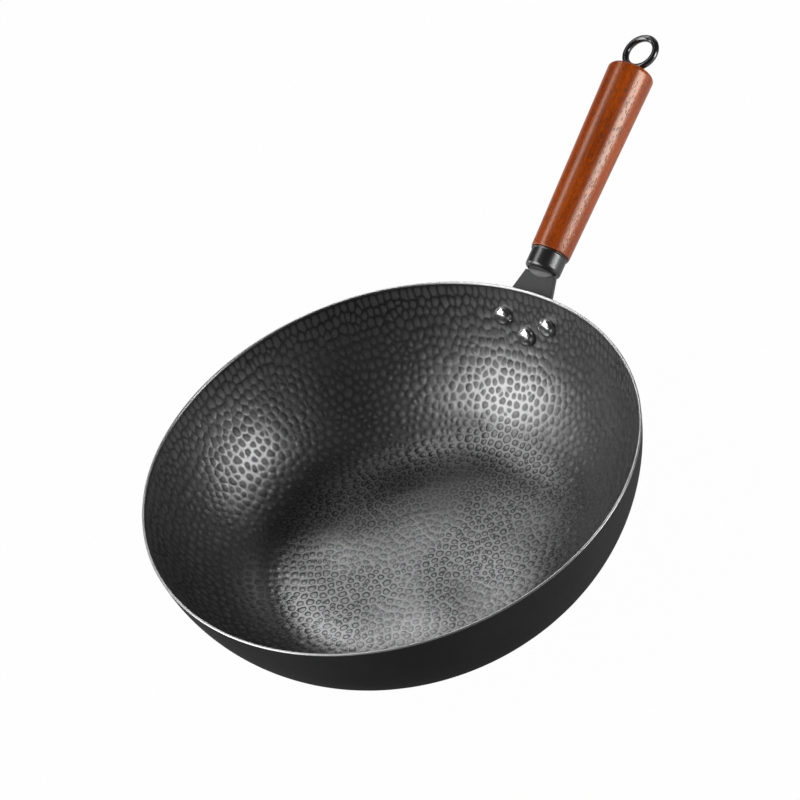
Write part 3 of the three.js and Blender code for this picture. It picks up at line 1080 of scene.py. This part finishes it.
class StrapSheet:
    """The strap as flat sheet: place along it and across it, and where that lies once bent."""

    def __init__(self, strap, wall):
        self.strap = strap
        self.wall = wall
        line = []
        for z in np.linspace(strap.foot_height, strap.bend_height, 24):
            line.append(wall.at_height(float(z), strap.gap + strap.thickness / 2))
        rise = math.atan2(HANDLE_ALONG.z, HANDLE_ALONG.x)
        facing = math.pi / 2 - rise
        under = Vector((math.cos(facing), -math.sin(facing)))
        mouth = Vector((HANDLE_MOUTH.x, HANDLE_MOUTH.z))
        end = mouth + under * strap.drop - Vector((HANDLE_ALONG.x, HANDLE_ALONG.z)) * strap.gap
        x, z, start = line[-1]
        away = Vector((math.cos(start), -math.sin(start)))
        radius = (Vector((x, z)) - end).dot(under) / (1 - away.dot(under))
        self.bend_from = len(line) - 1
        for k in range(1, 17):
            turn = start + (facing - start) * k / 16
            bent_x = x + radius * (math.cos(start) - math.cos(turn))
            bent_z = z - radius * (math.sin(start) - math.sin(turn))
            line.append((bent_x, bent_z, turn))
        self.bend_to = len(line) - 1
        line.append((end.x, end.y, facing))
        self.line = np.array(line)
        steps = np.hypot(np.diff(self.line[:, 0]), np.diff(self.line[:, 1]))
        self.run = np.concatenate([[0], np.cumsum(steps)])

    def at_height(self, z):
        return float(np.interp(z, self.line[:, 1], self.run))

    def bent(self, along, across, out):
        """Point of the bent strap, out towards the side that faces away from the bowl."""
        x, z, facing = (float(np.interp(along, self.run, self.line[:, k])) for k in range(3))
        low, high = self.line[self.bend_from, 1], self.line[self.bend_to, 1]
        x += out * math.cos(facing)
        z -= out * math.sin(facing)
        t = min(max((z - low) / (high - low), 0), 1)
        wrap = 1 - t * t * (3 - 2 * t)
        turn = across / x
        return (
            x + (x * math.cos(turn) - x) * wrap,
            across + (x * math.sin(turn) - across) * wrap,
            z,
        )

    def outline(self, rivets):
        """Half outline from the foot of the lower ear up to the end of the neck."""
        strap = self.strap
        pair_y = self.wall.at_height(rivets.pair_height)[0] * math.sin(rivets.pair_turn)
        slope = math.atan2(rivets.pair_height - rivets.lower_height, pair_y) - math.pi / 2
        half = []
        for y, z, start, stop in (
            (0, rivets.lower_height, -math.pi / 2, slope),
            (pair_y, rivets.pair_height, slope, math.radians(45)),
        ):
            for k in range(25):
                a = start + (stop - start) * k / 24
                half.append((y + strap.ear_radius * math.cos(a), z + strap.ear_radius * math.sin(a)))
        neck_z = self.line[self.bend_to, 1] - strap.thickness
        tip = half[-1]
        for k in range(1, 9):
            t = k / 8
            half.append((tip[0] + (strap.neck_half - tip[0]) * t, tip[1] + (neck_z - tip[1]) * t))
        flat = []
        for y, z in half:
            along = self.at_height(z)
            x = float(np.interp(along, self.run, self.line[:, 0]))
            flat.append((along, x * math.asin(y / x)))
        bend_end = self.run[self.bend_to]
        knee = flat[-1][0]
        for k in range(1, 5):
            flat.append((knee + (bend_end - knee) * k / 4, strap.neck_half))
        for k in range(1, 9):
            t = k / 8
            along = bend_end + (self.run[-1] - bend_end) * t
            flat.append((along, strap.neck_half + (strap.end_half - strap.neck_half) * t))
        return flat

    def holes(self, rivets, radius):
        loops = []
        middle = self.line[:, 0]
        for z, turn in ((rivets.pair_height, 1), (rivets.pair_height, -1), (rivets.lower_height, 0)):
            along = self.at_height(z)
            x = float(np.interp(along, self.run, middle))
            across = x * rivets.pair_turn * turn
            loop = []
            for k in range(32):
                a = FULL_TURN * k / 32
                loop.append((along + radius * math.cos(a), across + radius * math.sin(a)))
            loops.append(loop)
        return loops


def drawn_in(loop, distance):
    """A loop of flat points moved inwards by a distance."""
    moved = []
    for i, here in enumerate(loop):
        here = Vector(here)
        way = (Vector(loop[(i + 1) % len(loop)]) - Vector(loop[i - 1])).normalized()
        moved.append(tuple(here + Vector((-way.y, way.x)) * distance))
    return moved


def inside_loop(point, loop):
    x, y = point
    hit = False
    for (ax, ay), (bx, by) in zip(loop, loop[1:] + loop[:1]):
        if (ay > y) != (by > y) and x < (bx - ax) * (y - ay) / (by - ay) + ax:
            hit = not hit
    return hit


# Which chance run the weld's ripples take
WELD_SEED = 3


class WOK_OT_strap(Operator):
    """Make the bent strap riveted to the wall, with its weld"""

    bl_idname = "wok.strap"
    bl_label = "Riveted strap and weld"

    def execute(self, context):
        strap = context.scene.wok_strap
        rivets = context.scene.wok_rivets
        sheet = StrapSheet(strap, Wall(context.scene.wok_bowl))
        half = sheet.outline(rivets)
        rim = [(a, -c) for a, c in half[1:]] + [(a, c) for a, c in reversed(half)]
        rim = self.spaced(rim, step=1.2 * MM)
        body = drawn_in(rim, strap.edge)
        inner = drawn_in(rim, strap.edge + 1 * MM)
        holes = sheet.holes(rivets, rivets.shank_radius + strap.gap)
        flat, kept = self.face(body, inner, holes, rivets.shank_radius)

        # Both faces, the eased edge between them and the walls of the holes
        reach = strap.thickness / 2
        count = len(flat)
        vertices = [sheet.bent(a, c, side) for side in (reach, -reach) for a, c in flat]
        faces = kept + [tuple(count + k for k in reversed(t)) for t in kept]
        loops = [list(range(len(body)))]
        for inset, out in ((0.3, 0.3), (0.0, 1.0), (0.0, -1.0), (0.3, -0.3)):
            drawn = drawn_in(rim, strap.edge * inset)
            level = math.copysign(reach - strap.edge * abs(out), out)
            loops.append(list(range(len(vertices), len(vertices) + len(drawn))))
            vertices += [sheet.bent(a, c, level) for a, c in drawn]
        loops.append([count + k for k in range(len(body))])
        for first, second in zip(loops, loops[1:]):
            for k in range(len(first)):
                n = (k + 1) % len(first)
                faces.append((first[n], first[k], second[k], second[n]))
        start = len(body)
        for hole in holes:
            for k in range(len(hole)):
                n = (k + 1) % len(hole)
                faces.append((start + k, start + n, count + start + n, count + start + k))
            start += len(hole)
        piece = new_piece("strap_bent", vertices, faces, [strap_paint(strap)])
        finished(piece, "strap_steel", "handle_strap", sharp=50)
        self.weld(strap)
        return {"FINISHED"}

    def face(self, body, inner, holes, shank):
        """One face of the flat sheet: its points, those of its edge and holes first, and its triangles."""
        step, rows_each_way, hole_room = 2.2 * MM, 14, 4 * MM
        middles = [np.mean(hole, axis=0) for hole in holes]
        spots = []
        lines = []
        for loop in [body] + holes:
            start = len(spots)
            spots += loop
            lines += [(start + k, start + (k + 1) % len(loop)) for k in range(len(loop))]
        low, high = min(p[0] for p in body), max(p[0] for p in body)
        for i in range(int((high - low) / step) + 1):
            for j in range(-rows_each_way, rows_each_way + 1):
                spot = (low + (i + 0.5) * step, (j + 0.5 * (i % 2)) * step)
                clear = all(math.dist(spot, middle) > hole_room for middle in middles)
                if clear and inside_loop(spot, inner):
                    spots.append(spot)
        flat, _, triangles = delaunay_2d_cdt([Vector(p) for p in spots], lines, [], 1, 1e-9)[:3]
        flat = [tuple(p) for p in flat]
        kept = []
        for triangle in triangles:
            centre = np.mean([flat[k] for k in triangle], axis=0)
            if all(math.dist(centre, middle) > shank for middle in middles):
                kept.append(tuple(triangle))
        return flat, kept

    def spaced(self, loop, step):
        """The loop with points no further apart than a step."""
        spaced = []
        for here, after in zip(loop, loop[1:] + loop[:1]):
            gap = math.dist(here, after)
            if gap < 0.05 * MM:
                continue
            count = max(1, math.ceil(gap / step))
            for k in range(count):
                t = k / count
                spaced.append((here[0] + (after[0] - here[0]) * t, here[1] + (after[1] - here[1]) * t))
        return spaced

    def weld(self, strap):
        """A low bead in the corner between the strap and the plug's face."""
        place = handle_frame()
        chance = random.Random(WELD_SEED)
        base = -strap.drop + strap.thickness / 2 + 0.02 * MM
        columns, rows = 40, 8
        vertices = []
        for i in range(columns + 1):
            u = -1 + 2 * i / columns
            bulge = max(1 - u * u, 0) ** 0.75
            wobble = 1 + 0.08 * math.sin(i * 1.7) + chance.uniform(-0.05, 0.05)
            for j in range(rows + 1):
                t = j / rows
                ripple = 1 + 0.1 * math.sin(i * 2.3 + j)
                rise = strap.weld_height * bulge * (0.25 * t + 0.75 * t * t) * ripple
                along = -0.06 * MM - strap.weld_length * bulge * wobble * (1 - t)
                vertices.append(place @ Vector((base + rise, u * strap.weld_width / 2, along)))
        count = len(vertices)
        for i in range(columns + 1):
            for j in range(rows + 1):
                low = place.inverted() @ vertices[i * (rows + 1) + j]
                vertices.append(place @ Vector((base - 0.01 * MM, low.y, low.z)))
        faces = []
        width = rows + 1
        for i in range(columns):
            for j in range(rows):
                k = i * width + j
                faces.append((k, k + 1, k + width + 1, k + width))
                faces.append((count + k + width, count + k + width + 1, count + k + 1, count + k))
            back = i * width + rows
            faces.append((back, count + back, count + back + width, back + width))
            front = i * width
            faces.append((front + width, count + front + width, count + front, front))
        for side, flip in ((0, 1), (columns, 0)):
            for j in range(rows):
                k = side * width + j
                face = (k, k + 1, count + k + 1, count + k)
                faces.append(tuple(reversed(face)) if flip else face)
        piece = new_piece("strap_weld", vertices, faces, [weld_with_painted_light(strap)])
        finished(piece, "strap_steel")


# Rivets


class WOK_OT_rivets(Operator):
    """Make the three polished rivets"""

    bl_idname = "wok.rivets"
    bl_label = "Rivets"

    def execute(self, context):
        rivets = context.scene.wok_rivets
        strap = context.scene.wok_strap
        bowl = context.scene.wok_bowl
        wall = Wall(bowl)
        steel = polished_steel(rivets)
        seat = 0.25 * MM
        tail_at = -(bowl.wall + strap.thickness + 2 * strap.gap)
        tail_end = tail_at - rivets.tail_height
        profile = eased(
            [
                (0, tail_end, 0),
                (rivets.tail_radius, tail_end, 0.9 * MM),
                (rivets.tail_radius, tail_at, 0.2 * MM),
                (rivets.shank_radius, tail_at, 0),
                (rivets.shank_radius, seat, 0),
                (rivets.head_radius - 0.35 * MM, seat, 0),
            ]
        )
        power = 2 / rivets.head_fullness
        for a in np.radians(np.linspace(4, 90, 24)):
            r = rivets.head_radius * max(math.cos(a), 0) ** power
            rise = seat + (rivets.head_height - seat) * math.sin(a) ** power
            profile.append((r if a < 1.57 else 0.0, rise))
        for name, height, turn in (
            ("rivet_left", rivets.pair_height, rivets.pair_turn),
            ("rivet_right", rivets.pair_height, -rivets.pair_turn),
            ("rivet_lower", rivets.lower_height, 0),
        ):
            vertices, faces = turned(profile, sides=56)
            piece = new_piece(name + "_domed", vertices, faces, [steel], place=wall.place(height, turn))
            finished(piece, "rivet_metal", name, sharp=60)
        return {"FINISHED"}


# Handle


class WOK_OT_ferrule(Operator):
    """Make the rolled ferrule and the plug in its mouth"""

    bl_idname = "wok.ferrule"
    bl_label = "Ferrule and plug"

    def execute(self, context):
        ferrule = context.scene.wok_ferrule
        eye = context.scene.wok_eye
        place = handle_frame()
        roll_r = ferrule.radius - ferrule.mouth_roll
        inner = ferrule.radius - ferrule.wall
        lip_at = ferrule.length - ferrule.lip_length
        outer_roll = arc(roll_r, ferrule.mouth_roll, ferrule.mouth_roll, -90, 0, 16)
        inner_roll = arc(roll_r, ferrule.mouth_roll, ferrule.mouth_roll - ferrule.wall, 0, -90, 10)
        body = [(ferrule.radius, ferrule.mouth_roll + 0.4 * MM), (ferrule.radius, lip_at - 0.8 * MM)]
        body += [(ferrule.radius, lip_at - 0.35 * MM), (ferrule.radius - 0.12 * MM, lip_at)]
        bead = 0.45 * MM
        body += arc(ferrule.lip_radius - bead, lip_at + 0.65 * MM, bead, -80, 80, 10)
        body += [(inner + 0.4 * MM, ferrule.length - 0.05 * MM), (inner, ferrule.length - 0.4 * MM)]
        vertices, faces = turned(outer_roll + body + inner_roll, sides=96, closed=True)
        enamel = black_enamel("black_enamel", ferrule.enamel, 0.25)
        piece = new_piece("ferrule_rolled", vertices, faces, [enamel], place=place)
        finished(piece, "black_enamel", "ferrule")

        neck = roll_r - 0.5 * MM
        collar = inner - FIT
        hole, hole_floor = eye.bar_radius + FIT, 2 * MM
        profile = eased(
            [
                (0, 0, 0),
                (neck, 0, 0.35 * MM),
                (neck, ferrule.plug_collar_at, 0),
                (collar, ferrule.plug_collar_at, 0.2 * MM),
                (collar, ferrule.plug_length, 0.2 * MM),
                (hole, ferrule.plug_length, 0.2 * MM),
                (hole, hole_floor, 0),
                (0, hole_floor, 0),
            ]
        )
        vertices, faces = turned(profile, sides=72)
        piece = new_piece("plug_face", vertices, faces, [plug_metal(ferrule)], place=place)
        finished(piece, "strap_steel", "strap_plug", sharp=60)
        return {"FINISHED"}


class WOK_OT_grip(Operator):
    """Make the turned wooden grip"""

    bl_idname = "wok.grip"
    bl_label = "Wooden grip"

    def execute(self, context):
        grip = context.scene.wok_grip
        ferrule = context.scene.wok_ferrule
        shoulder = ferrule.length + FIT
        tenon = ferrule.radius - ferrule.wall - FIT
        start = eased(
            [
                (grip.bore_radius, grip.tenon_at, 0),
                (tenon, grip.tenon_at, 0.4 * MM),
                (tenon, shoulder, 0),
                (grip.shoulder_radius - 0.3 * MM, shoulder, 0),
            ]
        )
        rise = grip.neck_radius - grip.shoulder_radius
        neck = [
            (grip.neck_radius - rise * (1 - math.sin(a)), shoulder + rise * (1 - math.cos(a)))
            for a in np.radians([0, 20, 40, 60, 80, 90])
        ]
        cone = []
        for t in np.linspace(0, 1, 25)[1:]:
            along = shoulder + rise + (grip.tip_at - shoulder - rise) * t
            cone.append((grip.neck_radius + (grip.tip_radius - grip.neck_radius) * t, along))
        end = []
        for a in np.radians(np.linspace(0, 90, 15))[1:]:
            r = grip.end_radius + (grip.tip_radius - grip.end_radius) * math.cos(a)
            end.append((r, grip.tip_at + (grip.end_at - grip.dome - grip.tip_at) * math.sin(a)))
        for t in (0.25, 0.5, 0.75, 0.93):
            r = grip.end_radius + (grip.bore_radius - grip.end_radius) * t
            end.append((r, grip.end_at - grip.dome * (1 - t) ** 2))
        end.append((grip.bore_radius + 0.25 * MM, grip.end_at - 0.02 * MM))
        end.append((grip.bore_radius, grip.end_at - 0.3 * MM))
        vertices, faces = turned(start + neck + cone + end, sides=112, closed=True)
        piece = new_piece("grip_turned", vertices, faces, [lacquered_wood(grip)], place=handle_frame())
        local = piece.data.attributes.new("turned_place", "FLOAT_VECTOR", "POINT")
        local.data.foreach_set("vector", [c for v in vertices for c in v])
        finished(piece, "lacquered_wood", "wood_grip", sharp=50)
        return {"FINISHED"}


class WOK_OT_eye(Operator):
    """Make the long bolt and its hanging eye"""

    bl_idname = "wok.eye"
    bl_label = "Eye bolt"

    def execute(self, context):
        eye = context.scene.wok_eye
        ferrule = context.scene.wok_ferrule
        place = handle_frame()
        swing = Matrix.Rotation(-eye.ring_turn, 4, "Z")
        round_steps, bar_steps = 112, 32
        vertices = []
        faces = []
        for i in range(round_steps):
            a = FULL_TURN * i / round_steps
            for j in range(bar_steps):
                b = FULL_TURN * j / bar_steps
                r = eye.ring_radius + eye.bar_radius * math.cos(b)
                spot = (eye.bar_radius * math.sin(b), r * math.sin(a), eye.ring_at + r * math.cos(a))
                vertices.append(swing @ Vector(spot))
        for i in range(round_steps):
            for j in range(bar_steps):
                n, m = (i + 1) % round_steps, (j + 1) % bar_steps
                faces.append((i * bar_steps + j, i * bar_steps + m, n * bar_steps + m, n * bar_steps + j))
        enamel = black_enamel("eye_enamel", ferrule.enamel, 0.14)
        ring = new_piece("eye_bolt_ring", vertices, faces, [enamel], "eye", place)
        top = eye.ring_at - eye.ring_radius
        profile = eased(
            [
                (0, eye.bar_foot, 0),
                (eye.bar_radius, eye.bar_foot, 0.5 * MM),
                (eye.bar_radius, top, 0),
                (0, top, 0),
            ]
        )
        vertices, faces = turned(profile, sides=bar_steps)
        bar = new_piece("eye_bar", vertices, faces, [enamel], "eye", place)

        # The bar is joined to the ring as one piece
        join = ring.modifiers.new("join", "BOOLEAN")
        join.operation = "UNION"
        join.solver = "EXACT"
        join.object = bar
        graph = context.evaluated_depsgraph_get()
        joined = bpy.data.meshes.new_from_object(ring.evaluated_get(graph))
        ring.modifiers.clear()
        ring.data = joined
        bpy.data.objects.remove(bar)
        finished(ring, "black_enamel", "eye_bolt", sharp=40)
        return {"FINISHED"}


# Stage


class WOK_OT_stage(Operator):
    """Set up the floor, the soft light and the camera"""

    bl_idname = "wok.stage"
    bl_label = "Floor, light and camera"

    def execute(self, context):
        stage = context.scene.wok_stage
        context.scene.view_settings.view_transform = "Standard"
        self.floor(stage)
        self.backdrop(context, stage)
        # Name and glow of each soft box, then its angles round and above, distance, width and height
        for box in (
            ("right_box", stage.right_glow, -58.5, 18.2, 1.0, 0.34, 0.52),
            ("left_box", stage.left_glow, 145.5, 34.5, 1.4, 0.95, 0.95),
            ("left_low", stage.left_low, 150, 6, 1.4, 1.5, 0.32),
            ("left_end", stage.left_end, 95, 8, 1.4, 0.4, 0.4),
            ("left_high", stage.left_high, 98, 57, 1.4, 1.0, 0.4),
            ("far_box", stage.far_glow, 43, 38.8, 2.5, 0.5, 0.3),
            ("far_fill", stage.far_fill, 8, 24, 2.5, 0.8, 0.9),
        ):
            self.soft_box(*box)

        # The low box lights the side of the grip without widening the bright stripe along it
        low = self.soft_box("right_low", stage.right_low, -66, 0, 0.75, 0.5, 0.09)
        low.visible_glossy = False

        camera = bpy.data.objects.new("camera", bpy.data.cameras.new("camera"))
        camera.data.lens = stage.lens
        camera.data.sensor_width = SENSOR_WIDTH
        back = Vector(stage.camera_back).normalized()
        right = Vector(stage.camera_up).cross(back).normalized()
        turn = Matrix((right, back.cross(right), back)).transposed()
        camera.matrix_world = Matrix.Translation(stage.camera_at) @ turn.to_4x4()
        context.scene.collection.objects.link(camera)
        context.scene.camera = camera
        return {"FINISHED"}

    def floor(self, stage):
        """A wide pale floor that stays white round the wok and keeps its shadow."""
        reach, steps = 6.0, 12
        vertices = []
        faces = []
        for i in range(steps + 1):
            for j in range(steps + 1):
                x, y = reach * (2 * i / steps - 1), reach * (2 * j / steps - 1)
                vertices.append((x, y, -0.3 * MM))
        for i in range(steps):
            for j in range(steps):
                k = i * (steps + 1) + j
                faces.append((k, k + steps + 1, k + steps + 2, k + 1))
        mesh = bpy.data.meshes.new("floor")
        mesh.from_pydata(vertices, [], faces)
        s = new_material("pale_floor")
        path = s.node("ShaderNodeLightPath", out="Is Camera Ray")
        tone = s.shades(s.noise(s.place(), 3, 2), stage.floor_colour, 0.98, 1.0)
        matt = s.node("ShaderNodeBsdfDiffuse", {}, {"Color": tone})
        white = s.node("ShaderNodeEmission", {}, {"Color": (1, 1, 1, 1), "Strength": 1.0})
        seen = 0.985 * path + 0.3 * path.out("Is Glossy Ray") + 0.75 * path.out("Is Transmission Ray")
        mixed = s.node("ShaderNodeMixShader", {}, {0: seen, 1: matt, 2: white})
        s.node("ShaderNodeOutputMaterial", {}, {"Surface": mixed})
        mesh.materials.append(s.owner)
        floor = bpy.data.objects.new("floor", mesh)
        bpy.context.scene.collection.objects.link(floor)

    def backdrop(self, context, stage):
        """White all round for the eye, dim as a light."""
        world = bpy.data.worlds.new("studio")
        context.scene.world = world
        s = Shader(world)
        path = s.node("ShaderNodeLightPath", out="Is Camera Ray")
        seen = path + 0.014 * path.out("Is Glossy Ray") + path.out("Is Transmission Ray")
        light = s.node("ShaderNodeBackground", {}, {"Color": (1, 1, 1, 1), "Strength": stage.room})
        white = s.node("ShaderNodeBackground", {}, {"Color": (1, 1, 1, 1), "Strength": 1.0})
        mixed = s.node("ShaderNodeMixShader", {}, {0: seen, 1: light, 2: white})
        s.node("ShaderNodeOutputWorld", {}, {"Surface": mixed})

    def soft_box(self, name, level, around, above, away, width, tall):
        """A soft box of an even glow, set by its angles round and above the wok and how far away it is."""
        lamp = bpy.data.lights.new(name, "AREA")
        lamp.shape = "RECTANGLE"
        lamp.size = width
        lamp.size_y = tall
        lamp.energy = level * math.pi * width * tall
        box = bpy.data.objects.new(name, lamp)
        a, e = math.radians(around), math.radians(above)
        way = Vector((math.cos(a) * math.cos(e), math.sin(a) * math.cos(e), math.sin(e)))
        target = Vector((0, 0, 0.05))
        turn = way.to_track_quat("Z", "Y").to_matrix().to_4x4()
        box.matrix_world = Matrix.Translation(target + way * away) @ turn
        bpy.context.scene.collection.objects.link(box)
        return box


OPERATORS = (
    WOK_OT_bowl,
    WOK_OT_strap,
    WOK_OT_rivets,
    WOK_OT_ferrule,
    WOK_OT_grip,
    WOK_OT_eye,
    WOK_OT_stage,
)


class WOK_PT_panel(Panel):
    """Lists the pieces of the wok and their sizes"""

    bl_idname = "WOK_PT_panel"
    bl_label = "Hammered wok"
    bl_space_type = "VIEW_3D"
    bl_region_type = "UI"
    bl_category = "Wok"

    def draw(self, context):
        for operator in OPERATORS:
            self.layout.operator(operator.bl_idname)
        for name in SETTINGS:
            box = self.layout.box()
            settings = getattr(context.scene, name)
            for key in settings.bl_rna.properties.keys():
                if key not in ("rna_type", "name"):
                    box.prop(settings, key)


CLASSES = tuple(SETTINGS.values()) + OPERATORS + (WOK_PT_panel,)


def register():
    for cls in CLASSES:
        bpy.utils.register_class(cls)
    for name, settings in SETTINGS.items():
        setattr(bpy.types.Scene, name, PointerProperty(type=settings))


def unregister():
    for name in SETTINGS:
        delattr(bpy.types.Scene, name)
    for cls in reversed(CLASSES):
        bpy.utils.unregister_class(cls)


def main():
    register()
    bpy.ops.wok.bowl()
    bpy.ops.wok.strap()
    bpy.ops.wok.rivets()
    bpy.ops.wok.ferrule()
    bpy.ops.wok.grip()
    bpy.ops.wok.eye()
    bpy.ops.wok.stage()


if __name__ == "__main__":
    main()
